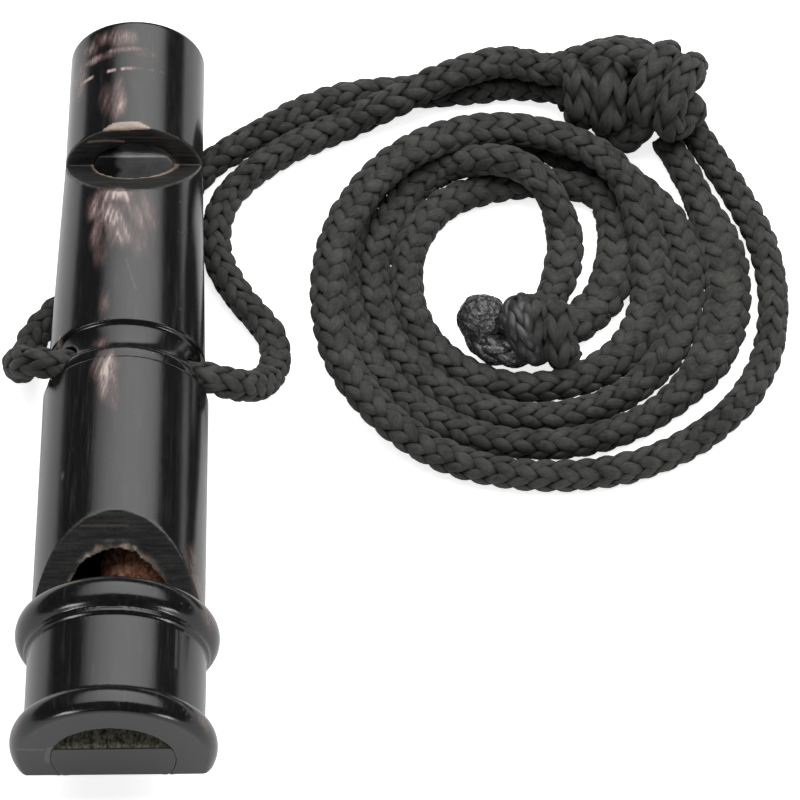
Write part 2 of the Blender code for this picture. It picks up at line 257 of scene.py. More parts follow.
def horn_material():
    """Polished near-black horn with pale streaky grain, fine scratches, dust and worn edges."""
    n = Nodes("polished_horn")
    grain = n.noise((1.9, 0.16, 1.9), detail=5.0, rough=0.62, distortion=0.4)
    fleck = n.noise((4.2, 0.8, 4.2), rough=0.6)
    dust = n.remap(n.noise((2.6, 1.5, 2.6), detail=5.0, rough=0.75), 0.56, 0.74)
    dark = n.ramp(grain, [(0.32, grey(0.003)), (0.56, grey(0.006)), (0.74, (0.024, 0.022, 0.02))])
    dark = n.blend(n.times(dust, 0.4), dark, (0.032, 0.031, 0.03))
    streaky = n.plus(n.times(grain, 0.9), n.times(fleck, 1.2))
    pale = n.times(n.mask("pale"), n.remap(streaky, 0.65, 1.45, 0.5, 1.2))
    pale_tones = [
        (0.05, (0.007, 0.006, 0.006)), (0.3, (0.045, 0.029, 0.026)), (0.6, (0.15, 0.107, 0.1)),
        (1.0, (0.5, 0.41, 0.37)),
    ]
    colour = n.blend(n.remap(pale, 0.02, 0.2), dark, n.ramp(pale, pale_tones))
    cream = n.ramp(fleck, [(0.25, (0.36, 0.26, 0.205)), (0.75, (0.6, 0.48, 0.385))])
    colour = n.blend(n.mask("cream"), colour, cream)
    cut_face = n.mask("cut")
    saw = n.noise((0.35, 2.2, 4.5), rough=0.65)
    cut_colour = n.ramp(saw, [(0.3, grey(0.006)), (0.72, (0.06, 0.058, 0.056))])
    bare_cut = n.times(cut_face, n.math("SUBTRACT", 0.9, n.mask("cream")))
    colour = n.blend(bare_cut, colour, cut_colour)
    colour = n.blend(n.times(n.mask("face"), 0.8), colour, grey(0.017))
    worn = n.remap(n.add("NewGeometry").outputs["Pointiness"], 0.57, 0.66)
    colour = n.blend(n.times(worn, 0.3), colour, (0.15, 0.13, 0.11))
    n.set(Base_Color=colour, IOR=1.54)
    turning = n.noise((0.12, 7.0, 0.12), detail=3.0, rough=0.65)
    scratches = n.noise((6.5, 0.32, 6.5), detail=3.0, rough=0.7)
    shine = n.plus(n.remap(scratches, 0.35, 0.75, 0.13, 0.22), n.remap(turning, 0.5, 0.8, 0.0, 0.06))
    shine = n.plus(shine, n.times(dust, 0.12))
    rough = n.plus(shine, n.times(n.math("MAXIMUM", cut_face, pale), 0.22))
    n.set(Roughness=rough)
    normal = n.bump(scratches, 0.14, 0.03)
    normal = n.bump(turning, 0.22, 0.025, normal)
    n.set(Normal=n.bump(saw, n.times(cut_face, 0.45), 0.05, normal))
    return n.material


def block_material():
    """The fipple blocks: dark planed ends, a rough greenish-brown windway floor, and painted light on the
    inner faces, a pale grey.
    """
    n = Nodes("planed_horn")
    fibre = n.noise((1.6, 0.35, 1.6), detail=5.0, rough=0.7)
    speck = n.noise((3.4, 2.2, 3.4))
    face = n.ramp(fibre, [(0.3, grey(0.012)), (0.75, grey(0.019))])
    floor = n.ramp(n.times(n.plus(fibre, speck), 0.5), [
        (0.38, (0.03, 0.02, 0.014)), (0.48, (0.2, 0.18, 0.13)), (0.58, (0.45, 0.43, 0.34)),
        (0.66, (0.4, 0.17, 0.09)),
    ])
    # Painted light: the inner faces lie in shade inside the windows, so they get a pale grey, brighter in
    # patches.
    painted_light_amount = n.noise((0.5, 0.5, 0.5))
    inner = n.ramp(painted_light_amount, [(0.3, grey(0.5)), (0.7, (0.85, 0.86, 0.86))])
    colour = n.blend(n.mask("windway"), face, floor)
    colour = n.blend(n.mask("inner"), colour, inner)
    n.set(Base_Color=colour, IOR=1.54)
    shine = n.remap(fibre, 0.3, 0.7, 0.2, 0.28)
    n.set(Roughness=n.plus(shine, n.times(n.mask("windway"), 0.4)))
    n.set(Normal=n.bump(fibre, 0.15, 0.03))
    return n.material


def cork_material():
    """Reddish-brown cork with dark pores and pale ragged fibres."""
    n = Nodes("cork")
    pores = n.noise((1.1, 1.1, 1.1), detail=6.0, rough=0.7, distortion=0.8)
    fibre = n.noise((2.6, 0.9, 2.6), rough=0.65)
    both = n.times(n.plus(pores, fibre), 0.5)
    n.set(Base_Color=n.ramp(both, [
        (0.37, (0.08, 0.024, 0.013)), (0.44, (0.5, 0.17, 0.09)), (0.52, (0.85, 0.38, 0.23)),
        (0.64, (1.0, 0.72, 0.53)),
    ]))
    n.set(Roughness=0.75, Specular_IOR_Level=0.3, Normal=n.bump(both, 0.9, 0.25))
    return n.material


def cord_material(name, colour, rough, gloss):
    """Black braided yarn with fibres along each yarn, patches of wear and bits of lint.

    The tops of the yarns have the colour, and painted shade makes the gaps between them nearly black.
    """
    n = Nodes(name)
    fibres = n.noise((26.0, 1.6, 1.0), rough=0.6, kind="UV")
    patch = n.noise((0.42, 0.42, 0.42))
    lint = n.remap(n.noise((4.5, 4.5, 4.5), detail=2.0), 0.66, 0.76)
    both = n.times(n.plus(fibres, patch), 0.5)
    base = n.ramp(both, [(0.34, [c * 0.35 for c in colour]), (0.64, [c * 1.7 for c in colour])])
    base = n.blend(n.times(lint, 0.35), base, [c * 3.2 for c in colour])
    # Painted shade: the gaps between the yarns, and the core beneath them, are darkened almost to black.
    base = n.blend(n.mask("gap_shade_crown"), n.blend(0.95, base, grey(0.001)), base)
    n.set(Base_Color=base, Roughness=rough, Specular_IOR_Level=gloss, Sheen_Weight=0.08, Sheen_Roughness=0.5)
    n.set(Normal=n.bump(fibres, 0.9, 0.10))
    return n.material


def melted_material():
    """Cord that has been melted into a glossy, pitted, lumpy bead."""
    n = Nodes("melted_cord")
    lumps = n.noise((0.8, 0.8, 0.8), detail=5.0, rough=0.62, distortion=1.2)
    pits = n.add("TexVoronoi", {"Vector": n.place((1.7, 1.7, 1.7)), "Scale": 1.0}).outputs["Distance"]
    # Lighter grey flecks in patches over the dark bead.
    grey_flecks = n.remap(n.noise((2.4, 2.4, 2.4), detail=5.0, rough=0.7), 0.56, 0.7)
    colour = n.blend(n.times(grey_flecks, 0.75), grey(0.022), (0.42, 0.42, 0.4))
    n.set(Base_Color=colour, Specular_IOR_Level=0.9, Coat_Weight=0.5, Coat_Roughness=0.08)
    n.set(Roughness=n.remap(lumps, 0.3, 0.7, 0.1, 0.42))
    n.set(Normal=n.bump(pits, 0.5, 0.25, n.bump(lumps, 0.8, 0.5)))
    return n.material


FLOOR_GLOW = 0.8


def floor_material():
    """Pale ground that the camera sees near white, as under a strongly lit sweep."""
    n = Nodes("pale_floor")
    seen = n.add("LightPath").outputs["Is Camera Ray"]
    n.set(Base_Color=(0.9, 0.9, 0.9, 1), Roughness=0.9, Specular_IOR_Level=0.1)
    n.set(Emission_Color=(1, 1, 1, 1), Emission_Strength=n.times(seen, FLOOR_GLOW))
    return n.material


# ---- What the frame gives ------------------------------------------------
JOINTS = {joint["name"]: joint for joint in frame["record"]["behaviour"]["joints"]}


def joint_place(name):
    return np.array(JOINTS[name]["pos_m"]) / MM


def node_ball(node):
    """Centre and radius of a CAD node that is a ball."""
    low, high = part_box(node)
    return np.array((low + high) / 2) / MM, (high - low)[0] / 2 / MM


# ---- Whistle: driving sizes ----------------------------------------------
# Y runs from the trill mouth to the tone end. Windows are given by points (y, z) on their cuts.
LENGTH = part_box("horn_body")[1].y / MM
BEAD_R = 11.7
FACE_R = 10.7
NECK_R = 10.2
NECK_START = 3.6
NECK_END = 12.9
ASTRAGAL_R = 10.65
RING_START = 13.7
RING_END = 17.6
LOWER_R_NEAR = 9.95
LOWER_R_FAR = 9.8
GROOVE_START = 48.2
GROOVE_END = 53.6
LIP_END = 50.0
LIP_R = 9.45
COVE_R = 8.5
UPPER_R_NEAR = 9.35
UPPER_R_FAR = 8.4
TIP_ROUND = 0.6
TRILL_BORE_R = 7.0
TRILL_BORE_END = 45.0
TONE_BORE_R = 5.0
TONE_BORE_START = 56.0
TRILL_WALL = (17.6, 2.65)
TRILL_RAMP_TOP = (26.84, LOWER_R_NEAR)
TONE_WALL = (82.9, 0.9)
TONE_RAMP_TOP = (73.4, 8.6)
TRILL_FLOOR_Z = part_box("trill_block")[1].z / MM
TONE_FLOOR_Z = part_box("tone_block")[1].z / MM
BITE_Z = -3.7
BITE_FLAT_LENGTH = 5.5
BITE_COVE_R = 6.7
_, HOLE_Y, HOLE_Z = joint_place("bridle_swing")
HOLE_R = 2.04
HOLE_TILT = math.radians(10.0)
CHAMFER_LOW = (82.75, 7.97)
CHAMFER_HIGH = (83.75, 8.5)
CHAMFER_TILT = math.radians(4.0)
# Tool marks and grain stand this far out of, or into, the smooth skin.
SAW_DEPTH = 0.055
TRILL_FILE_DEPTH = 0.035
TONE_FILE_DEPTH = 0.03
HAND_DEPTH = 0.016
WINDWAY_GRAIN_DEPTH = 0.12
SCRIBE_Y = 25.35
# A pale curl on the tone window's wall, by its highest point (x, z).
CURL = (-3.0, 5.9)
# How far into the tone plug's windway floor painted light reaches.
PAINTED_LIGHT_FLOOR_LENGTH = 7.0
BODY_SIDES = 240
PEA_DENT = 0.1
BALL_SUBDIVISIONS = 6
VOXEL = 0.17


def bead(start, end, base_r, crown_r, count, first=-1.0):
    """Points (y, r) along a half-ellipse that stands out of, or dips into, a turned side."""
    half = (end - start) / (1.0 - first)
    begin = math.acos(-first)
    angles = [begin + (math.pi - begin) * i / count for i in range(count + 1)]
    return [(end - half - half * math.cos(a), base_r + (crown_r - base_r) * math.sin(a)) for a in angles]


def body_outline():
    """The whistle's turned side as (y, r), from the trill mouth to the tone end."""
    face_start = -math.sqrt(1.0 - ((FACE_R - NECK_R) / (BEAD_R - NECK_R)) ** 2)
    side = bead(0.0, NECK_START, NECK_R, BEAD_R, 20, face_start)
    side += bead(NECK_END, RING_START, NECK_R, ASTRAGAL_R, 8)
    side += bead(RING_START, RING_END, NECK_R, BEAD_R, 24)[1:-1]
    side.append((RING_END, LOWER_R_NEAR))
    side.append((GROOVE_START, LOWER_R_FAR))
    side.append((GROOVE_START + 0.15, LIP_R - 0.35))
    side += bead(GROOVE_START + 0.15, LIP_END, LIP_R - 0.35, LIP_R, 8)[1:]
    side += bead(LIP_END, GROOVE_END, UPPER_R_NEAR - 0.3, COVE_R, 14)[1:-1]
    side.append((GROOVE_END, UPPER_R_NEAR))
    side.append((TONE_WALL[0], UPPER_R_FAR + 0.08))
    for i in range(6):
        angle = math.pi / 2 * i / 5
        y = LENGTH - TIP_ROUND * (1.0 - math.sin(angle))
        side.append((y, UPPER_R_FAR - TIP_ROUND * (1.0 - math.cos(angle))))
    return side


def tube_faces(rings, sides):
    """Quads between rings, and the end caps of an open tube."""
    faces = []
    for i in range(rings - 1):
        here, there = i * sides, (i + 1) * sides
        for j in range(sides):
            k = (j + 1) % sides
            faces.append((here + j, here + k, there + k, there + j))
    faces.append(tuple(range(sides))[::-1])
    faces.append(tuple((rings - 1) * sides + j for j in range(sides)))
    return faces


def solid(verts, faces):
    """A closed working solid whose units are millimetres, with its faces pointing out."""
    obj = mesh_object("solid", verts, faces, scale=1.0)
    shape = bmesh.new()
    shape.from_mesh(obj.data)
    bmesh.ops.recalc_face_normals(shape, faces=shape.faces)
    shape.to_mesh(obj.data)
    shape.free()
    return obj


def turned(outline, sides=BODY_SIDES):
    """A solid turned about the Y axis from points (y, r)."""
    angles = np.arange(sides) / sides * math.tau
    rings = [np.column_stack([r * np.cos(angles), np.full(sides, y), r * np.sin(angles)]) for y, r in outline]
    return solid(np.concatenate(rings), tube_faces(len(rings), sides))


def rod(radius, start, end, sides=160):
    """A solid cylinder along Y."""
    return turned([(start, radius), (end, radius)], sides)


def prism(side_view):
    """A solid with one outline in the YZ plane, drawn across X."""
    reach = 2 * BEAD_R
    verts = [(x, y, z) for x in (-reach, reach) for y, z in side_view]
    return solid(verts, tube_faces(2, len(side_view)))


def carve(obj, cutters):
    """Take cutters away from a solid, and remove them."""
    for cutter in cutters:
        obj.modifiers.new("cut", "BOOLEAN").object = cutter
    apply_modifiers(obj)
    for cutter in cutters:
        bpy.data.objects.remove(cutter, do_unlink=True)


def even_skin(obj, smoothing=2):
    """Give a solid an even, fine skin whose edges are softened by a voxel."""
    remesh = obj.modifiers.new("even_skin", "REMESH")
    remesh.mode = "VOXEL"
    remesh.voxel_size = VOXEL
    soften = obj.modifiers.new("soften", "SMOOTH")
    soften.iterations = smoothing
    soften.factor = 0.5
    apply_modifiers(obj)
    obj.data.shade_smooth()


def to_metres(obj, coords, name, material):
    """Store a finished skin in metres under its final name."""
    set_coordinates(obj.data, coords * MM)
    obj.data.materials.clear()
    obj.data.materials.append(material)
    obj.name = name
    obj.data.name = name
    return obj


def window_cutter(wall, top):
    """A window's cut: a wall square to the axis and a straight ramp that rises away from it."""
    above = BEAD_R + 4.0
    far = top[0] + (above - top[1]) * (top[0] - wall[0]) / (top[1] - wall[1])
    return prism([wall, (far, above), (wall[0], above)])


def bite_cutter():
    """The flat under the trill mouth, with a cove behind it for the lip."""
    low = -BEAD_R - 4.0
    outline = [(-2.0, low), (-2.0, BITE_Z)]
    for i in range(25):
        angle = math.pi / 2 * i / 24
        y = BITE_FLAT_LENGTH + BITE_COVE_R * math.sin(angle)
        outline.append((y, BITE_Z - BITE_COVE_R * (1.0 - math.cos(angle))))
    outline.append((BITE_FLAT_LENGTH + BITE_COVE_R, low))
    return prism(outline)


def wall_chamfer_cutter():
    """A small bevel on the top of the tone window's wall, deeper on its left."""
    top = [(CHAMFER_HIGH[0], BEAD_R), (CHAMFER_LOW[0], BEAD_R)]
    cutter = prism([CHAMFER_LOW, CHAMFER_HIGH, *top])
    cutter.data.transform(Matrix.Rotation(-CHAMFER_TILT, 4, "Y"))
    return cutter


def cord_hole_cutter():
    cutter = rod(HOLE_R, -2 * BEAD_R, 2 * BEAD_R, 64)
    turn = Matrix.Rotation(-math.pi / 2, 4, "Z")
    tilt = Matrix.Rotation(HOLE_TILT, 4, "Y")
    cutter.data.transform(Matrix.Translation((0, HOLE_Y, HOLE_Z)) @ tilt @ turn)
    return cutter


def ramp_distance(coords, wall, top):
    """How far points stand off a window's ramp."""
    slope = (top[1] - wall[1]) / (top[0] - wall[0])
    return (coords[:, 2] - wall[1] - (coords[:, 1] - wall[0]) * slope) / math.hypot(1.0, slope)


# Pale streaks on the horn's top as (x, y, half width, half length, strength).
PALE_PATCHES = [
    (-3, 97.6, 1.9, 1.3, 0.75), (-1.3, 97, 1.7, 1.5, 0.8), (-5.4, 96.9, 1.2, 1.3, 0.6),
    (-1.2, 95.3, 2.6, 0.5, 1), (-4.4, 94.8, 2.4, 0.7, 0.75), (-6.8, 93.1, 1, 3.2, 0.6),
    (1.4, 94.6, 1.8, 0.6, 0.35), (-3, 88.2, 1, 2.7, 0.5), (-1.6, 87.5, 1.1, 3.4, 0.75),
    (0.6, 89.5, 1.2, 2.6, 0.25), (-1.6, 72.6, 2.4, 1.6, 1), (-3.4, 71.4, 1.5, 2.6, 0.8),
    (-1.9, 69.6, 1.7, 2.8, 0.95), (1.5, 69.8, 2, 3.6, 0.55), (-0.6, 66.8, 1.7, 2.6, 0.75),
    (-3.6, 66.8, 1, 2.8, 0.6), (-3.1, 63.8, 0.9, 2.4, 0.5), (1.7, 65.4, 1.4, 3.2, 0.42),
    (-2.3, 56.5, 0.8, 2.2, 0.5), (-2.3, 50.9, 1.2, 1, 0.65), (-1.9, 46.9, 1.5, 2.4, 1),
    (-1.5, 44.4, 1.1, 2.4, 0.85), (-0.8, 41.6, 0.7, 1.6, 0.5), (-7.7, 53.6, 0.5, 0.7, 0.8),
    (9.3, 20.4, 1, 2, 0.6), (8.6, 23.2, 0.7, 2, 0.6), (10.6, 15.4, 0.9, 1.4, 0.5),
    (10.4, 1.6, 0.9, 0.8, 0.6), (-10.4, 1.6, 0.9, 0.8, 0.5), (-6.4, 33, 0.25, 0.6, 0.5),
]
PALE_RING_Y = 92.2
SCRATCH_START = (0.1, 62.6)
SCRATCH_END = (1.4, 58.2)


def pale_ring(coords):
    """A broken pale line turned around the top of the far end."""
    x, y, _ = coords.T
    dashes = smoothstep(-0.5, 0.15, value_noise(coords * (1.7, 0.01, 0.01), 5))
    ring = fade(0.12, 0.42, np.abs(y - PALE_RING_Y)) * dashes
    return ring * smoothstep(-7.4, -6.0, x) * (1.0 - 0.6 * smoothstep(-1.2, 1.0, x)) * fade(3.2, 4.6, x)


def scratch(coords):
    """One short scratch between the windows."""
    along = np.subtract(SCRATCH_END, SCRATCH_START)
    part = np.clip((coords[:, 1] - SCRATCH_START[1]) / along[1], 0.0, 1.0)
    nearest = SCRATCH_START + part[:, None] * along
    return 0.45 * fade(0.05, 0.2, np.hypot(*(coords[:, :2] - nearest).T))


def pale_mask(coords):
    """Where the horn's pale grain shows on its upper side, drawn out in chevrons."""
    x, y, z = coords.T
    wander = layered_noise(coords * (0.9, 0.35, 0.9), 11)
    mask = np.zeros(len(coords))
    for patch_x, patch_y, half_width, half_length, strength in PALE_PATCHES:
        reach = np.hypot((x - patch_x) / half_width, (y - patch_y) / half_length) + 0.5 * wander
        mask = np.maximum(mask, strength * fade(0.15, 1.6, reach))
    chevron = np.abs(x + 1.0) + 0.3 * y
    mask *= 0.9 + 0.34 * streaks(chevron * 2.1, y * 0.22, 13) + 0.22 * streaks(chevron * 5.5, y * 0.5, 14)
    mask = np.maximum.reduce([mask, pale_ring(coords), scratch(coords)])
    return mask * smoothstep(0.5, 2.5, z)


def flatten_mouth(coords, normals):
    """Bring the soft edges around the trill block's joint back to the flat end face."""
    x, y, z = coords.T
    joint = (np.abs(np.hypot(x, z) - TRILL_BORE_R) < 0.6) & (y < 0.4) & (z < TRILL_FLOOR_Z - 0.3)
    coords[joint & (normals[:, 1] < -0.25), 1] = 0.0


class HornSkin:
    """How far the body's smooth skin lies from its cuts, and which of them each point is on."""

    def __init__(self, coords):
        _, y, z = coords.T
        self.radius = np.hypot(*coords[:, ::2].T)
        self.trill_off = ramp_distance(coords, TRILL_WALL, TRILL_RAMP_TOP)
        self.tone_off = ramp_distance(coords, TONE_WALL, TONE_RAMP_TOP)
        trill_span = (y > TRILL_WALL[0] - 0.2) & (y < TRILL_RAMP_TOP[0] + 0.5)
        tone_span = (y < TONE_WALL[0] + 0.2) & (y > TONE_RAMP_TOP[0] - 0.5)
        self.on_trill = (np.abs(self.trill_off) < 0.2) & trill_span & (z > 1.5)
        self.on_tone = (np.abs(self.tone_off) < 0.2) & tone_span & (z > 0.0)
        self.on_wall = (np.abs(y - TONE_WALL[0]) < 0.15) & (self.radius > TONE_BORE_R - 0.2) & (z > 0.5)


def roughen(coords, skin):
    """Chip the windows' lips, and leave saw and file marks on their cut faces."""
    x, y, z = coords.T
    chip = layered_noise(coords * (0.95, 0.35, 0.35), 21, 2)
    trill_lip = np.exp(-(((skin.radius - TRILL_BORE_R) / 0.55) ** 2) - (skin.trill_off / 0.45) ** 2)
    push = trill_lip * (y > TRILL_WALL[0] + 0.4) * np.clip(0.15 + 0.75 * chip, -0.1, 0.8)
    tone_lip = np.exp(-(((skin.radius - TONE_BORE_R) / 0.4) ** 2) - (skin.tone_off / 0.35) ** 2)
    push += tone_lip * (y < TONE_WALL[0]) * 0.25 * layered_noise(coords * 1.4, 23)
    coords[:, 0] += x / skin.radius * push
    coords[:, 2] += z / skin.radius * push
    saw = streaks(z * 3.2, x * 0.05, 31) + 0.6 * streaks(z * 7.0, x * 0.1, 32)
    coords[:, 1] += skin.on_wall * SAW_DEPTH * saw
    file_marks = streaks(y * 2.6, x * 0.06, 33)
    file_depth = skin.on_trill * TRILL_FILE_DEPTH + skin.on_tone * TONE_FILE_DEPTH
    coords[:, 2] += file_depth * file_marks


def chamfer_mask(coords):
    """The bevel at the top of the tone window's wall, brightest in its middle."""
    x, y, z = coords.T
    run, rise = np.subtract(CHAMFER_HIGH, CHAMFER_LOW)
    off = (z - x * math.tan(CHAMFER_TILT) - CHAMFER_LOW[1]) - (y - CHAMFER_LOW[0]) * rise / run
    on_bevel = (np.abs(off) < 0.16) & (y > TONE_WALL[0] - 0.1) & (y < CHAMFER_HIGH[0] + 0.1) & (z > 7.5)
    return on_bevel * (0.4 + 0.35 * smoothstep(-5.0, -1.0, x) * fade(1.5, 4.5, x))


def cream_mask(coords, skin, face):
    """Where bare, creamy horn shows: the windows' lips and edges, and the trill block's joint."""
    x, y, z = coords.T
    past_trill = skin.radius - TRILL_BORE_R
    past_tone = skin.radius - TONE_BORE_R
    fray = 0.3 + 0.7 * layered_noise(coords * (0.9, 0.5, 0.5), 51)
    trill_lip = skin.on_trill * fade(0.3, 0.95, past_trill + 0.8 * fray)
    trill_lip *= (0.5 + 0.25 * value_noise(coords * 0.8, 53)) * (1.0 - 0.6 * smoothstep(3.0, 6.5, x))
    tone_lip = skin.on_tone * fade(0.3, 0.62, past_tone + 0.15 * fray - 0.3 * smoothstep(1.5, 4.0, x))
    wall_edge = skin.on_wall * smoothstep(1.5, 3.5, x) * fade(0.25, 0.6, past_tone)
    curl_off = np.abs(z - CURL[1] + 0.05 * (x - CURL[0]) ** 2)
    curl = skin.on_wall * fade(0.12, 0.3, curl_off) * (x < -0.8) * (x > -5.5)
    scribe = skin.on_trill * fade(0.05, 0.16, np.abs(y - SCRIBE_Y)) * (x > -4.0) * (x < 1.5)
    hairline = face * fade(0.08, 0.22, np.abs(z - TRILL_FLOOR_Z + 0.03 * (x + 7.5))) * (x < -7.6)
    plug_rim = face * fade(0.1, 0.7, np.abs(past_trill - 0.3)) * (x < -5.0) * (z > -0.6) * (z < 3.1)
    return np.maximum.reduce([
        trill_lip, tone_lip * 0.75, wall_edge * 0.8, curl * 0.6, chamfer_mask(coords), scribe * 0.12,
        hairline * 0.8, plug_rim * 0.55,
    ])


def make_horn():
    """The turned and bored body, with its windows, chipped edges, saw marks and grain."""
    horn = turned(body_outline())
    carve(horn, [
        rod(TRILL_BORE_R, -2.0, TRILL_BORE_END),
        rod(TONE_BORE_R, TONE_BORE_START, LENGTH + 2.0),
        cord_hole_cutter(),
        window_cutter(TRILL_WALL, TRILL_RAMP_TOP),
        window_cutter(TONE_WALL, TONE_RAMP_TOP),
        bite_cutter(),
        wall_chamfer_cutter(),
    ])
    even_skin(horn)
    mesh = horn.data
    coords = read_vectors(mesh, "co")
    normals = read_vectors(mesh, "normal")
    skin = HornSkin(coords)
    roughen(coords, skin)
    hand_worked = layered_noise(coords * (0.16, 0.1, 0.16), 41, 2)
    coords += normals * (HAND_DEPTH * hand_worked)[:, None]
    flatten_mouth(coords, normals)

    y = coords[:, 1]
    outer = skin.radius > 0.93 * np.interp(y, *np.array(sorted(body_outline())).T)
    face = (y < 0.12) & (normals[:, 1] < -0.5)
    in_bore = ~outer & (y > 0.3) & ~skin.on_trill & ~skin.on_tone & ~skin.on_wall
    cut = np.clip(0.6 * skin.on_trill + 0.8 * skin.on_tone + skin.on_wall + in_bore, 0, 1)
    set_mask(mesh, "pale", pale_mask(coords))
    set_mask(mesh, "cream", cream_mask(coords, skin, face))
    set_mask(mesh, "cut", cut)
    set_mask(mesh, "face", face)
    return to_metres(horn, coords, "horn_whistle", horn_material())


def make_plug(name, radius, start, end, floor_z, material, bite=False, painted_light_floor=False):
    """A fipple block: a plug with its top planed off. Its floor has rough grain, with the windway's colour,
    or with painted light near its start.
    """
    plug = rod(radius, start, end)
    top = BEAD_R + 1.0
    planed = [(start - 2.0, floor_z), (end + 2.0, floor_z), (end + 2.0, top), (start - 2.0, top)]
    carve(plug, [prism(planed)] + ([bite_cutter()] if bite else []))
    even_skin(plug, smoothing=1)
    mesh = plug.data
    coords = read_vectors(mesh, "co")
    normals = read_vectors(mesh, "normal")
    x, y, z = coords.T
    on_floor = (normals[:, 2] > 0.7) & (z > floor_z - 0.3)
    inside = np.minimum(y - start, end - y) > 0.25
    rough = layered_noise(coords * (1.3, 0.28, 1.0), 61)
    coords[:, 2] += on_floor * inside * WINDWAY_GRAIN_DEPTH * np.minimum(rough, 0.1)
    flatten_mouth(coords, normals)
    # Painted light goes on the inner end face, the one that faces into the window.
    inner = (y > end - 0.3) if start < LENGTH / 2 else (y < start + 0.3)
    # Painted light also covers the first stretch of the tone plug's windway floor, in place of its windway
    # colour.
    if painted_light_floor:
        inner |= y < start + PAINTED_LIGHT_FLOOR_LENGTH
    # Painted shadow: the inner faces' painted light fades out towards their left, where shade falls.
    painted_light_amount = smoothstep(-2.4, -1.2, x + 0.9 * layered_noise(coords * 0.7, 65))
    set_mask(mesh, "windway", on_floor * inside * (not painted_light_floor))
    set_mask(mesh, "inner", inner * (0.08 + 0.92 * painted_light_amount))
    return to_metres(plug, coords, name, material)


def rough_ball(name, centre, radius, material, shapes):
    """A ball whose skin is displaced by noise. A shape is (grain size, depth, ridged)."""
    shape = bmesh.new()
    bmesh.ops.create_icosphere(shape, subdivisions=BALL_SUBDIVISIONS, radius=1.0)
    mesh = bpy.data.meshes.new(name)
    shape.to_mesh(mesh)
    shape.free()
    sphere = read_vectors(mesh, "co")
    reach = np.full(len(sphere), radius)
    for seed, (size, depth, ridged) in enumerate(shapes):
        wave = layered_noise(sphere * radius / size, 71 + 7 * seed)
        reach += depth * ((1.0 - 2.0 * np.abs(wave)) if ridged else wave)
    set_coordinates(mesh, (sphere * reach[:, None] + np.array(centre)) * MM)
    mesh.shade_smooth()
    mesh.materials.append(material)
    return new_object(name, mesh)


# ---- Cord: paths ---------------------------------------------------------
# FLAT_H is the height of a cord that lies on the ground, OVER_H of one that lies on another.
GROUND_Z = -BEAD_R
FLAT_H = 1.85
OVER_H = 5.75
COIL = (50.5, 70.5)
COIL_STEP = 12.0


def with_heights(points):
    """Points as three numbers. A point with two lies flat on the ground."""
    return [point if len(point) == 3 else (*point, FLAT_H) for point in points]


def hermite_table(values, places, at):
    """Catmull-Rom through values at unevenly spaced places, evaluated at an array of places."""
    places = np.asarray(places, float)
    values = np.asarray(values, float)
    if places[-1] < places[0]:
        places = -places
        at = -np.asarray(at, float)
    slopes = np.empty_like(values)
    slopes[1:-1] = ((values[2:] - values[:-2]).T / (places[2:] - places[:-2])).T
    slopes[0] = (values[1] - values[0]) / (places[1] - places[0])
    slopes[-1] = (values[-1] - values[-2]) / (places[-1] - places[-2])
    i = np.clip(np.searchsorted(places, at, side="right") - 1, 0, len(places) - 2)
    width = places[i + 1] - places[i]
    s = (at - places[i]) / width
    if values.ndim > 1:
        s = s[:, None]
        width = width[:, None]
    a = (2 * s**3 - 3 * s**2 + 1) * values[i] + (s**3 - 2 * s**2 + s) * slopes[i] * width
    b = (3 * s**2 - 2 * s**3) * values[i + 1] + (s**3 - s**2) * slopes[i + 1] * width
    return a + b


def coil(stations):
    """Points along turns of the coil. A station is (angle in degrees, radius) and its height if raised."""
    table = np.array(with_heights(stations), float)
    count = round(abs(table[-1, 0] - table[0, 0]) / COIL_STEP)
    angles = np.linspace(table[0, 0], table[-1, 0], count + 1)
    lie = hermite_table(table[:, 1:], table[:, 0], angles)
    turn = np.radians(angles)
    out = np.column_stack([np.cos(turn), np.sin(turn)])
    return np.column_stack([COIL + lie[:, :1] * out, lie[:, 1]])


def even(points, step):
    """Resample a smooth path through points at an even step."""
    points = np.asarray(points, float)
    for spacing in (step * 3, step):
        reach = np.concatenate([[0.0], np.cumsum(np.linalg.norm(np.diff(points, axis=0), axis=1))])
        count = max(2, round(reach[-1] / spacing))
        points = hermite_table(points, reach, np.linspace(0.0, reach[-1], count + 1))
    return points


def frames_along(path, up):
    """Tangents and rotation-minimising normals along a path."""
    tangent = unit(np.gradient(path, axis=0))
    normal = np.empty_like(path)
    first = np.asarray(up, float) - np.dot(up, tangent[0]) * tangent[0]
    normal[0] = first / np.linalg.norm(first)
    for i in range(1, len(path)):
        step = normal[i - 1] - np.dot(normal[i - 1], tangent[i]) * tangent[i]
        normal[i] = step / np.linalg.norm(step)
    return tangent, normal, np.cross(tangent, normal)


def grounded(points):
    """Heights above the ground to Z."""
    points = np.array(points, float)
    points[:, 2] = GROUND_Z + points[:, 2]
    return points


# ---- Cord: braid ---------------------------------------------------------
# LAY is the cord's length for one turn of a yarn. COLUMNS is how often a yarn surfaces in that turn.
YARNS_EACH_WAY = 8
LAY = 20.0
COLUMNS = 4
YARN_R = 1.27
CRIMP = 0.34
YARN_WIDTH = 0.57
YARN_HEIGHT = 0.40
WAVE_WIDTH = 0.27
HAND_WIDTH = 0.05
BRAID_STEP = 0.42
YARN_SIDES = 8
CORE_R = 1.05
CORE_SIDES = 10
# Between these distances from the cord's centre, over its size, the painted shade of the gaps gives way to
# the yarns' own colour.
CROWN_LOW = 1.46
CROWN_HIGH = 1.86


def ellipses(centre, across, rise, width, height, sides):
    """A ring of points around each point of a path."""
    turn = (np.arange(sides) / sides * math.tau)[None, :, None]
    level = np.cos(turn) * across[:, None, :] * width[:, None, None]
    return centre[:, None, :] + level + np.sin(turn) * rise[:, None, :] * height[:, None, None]


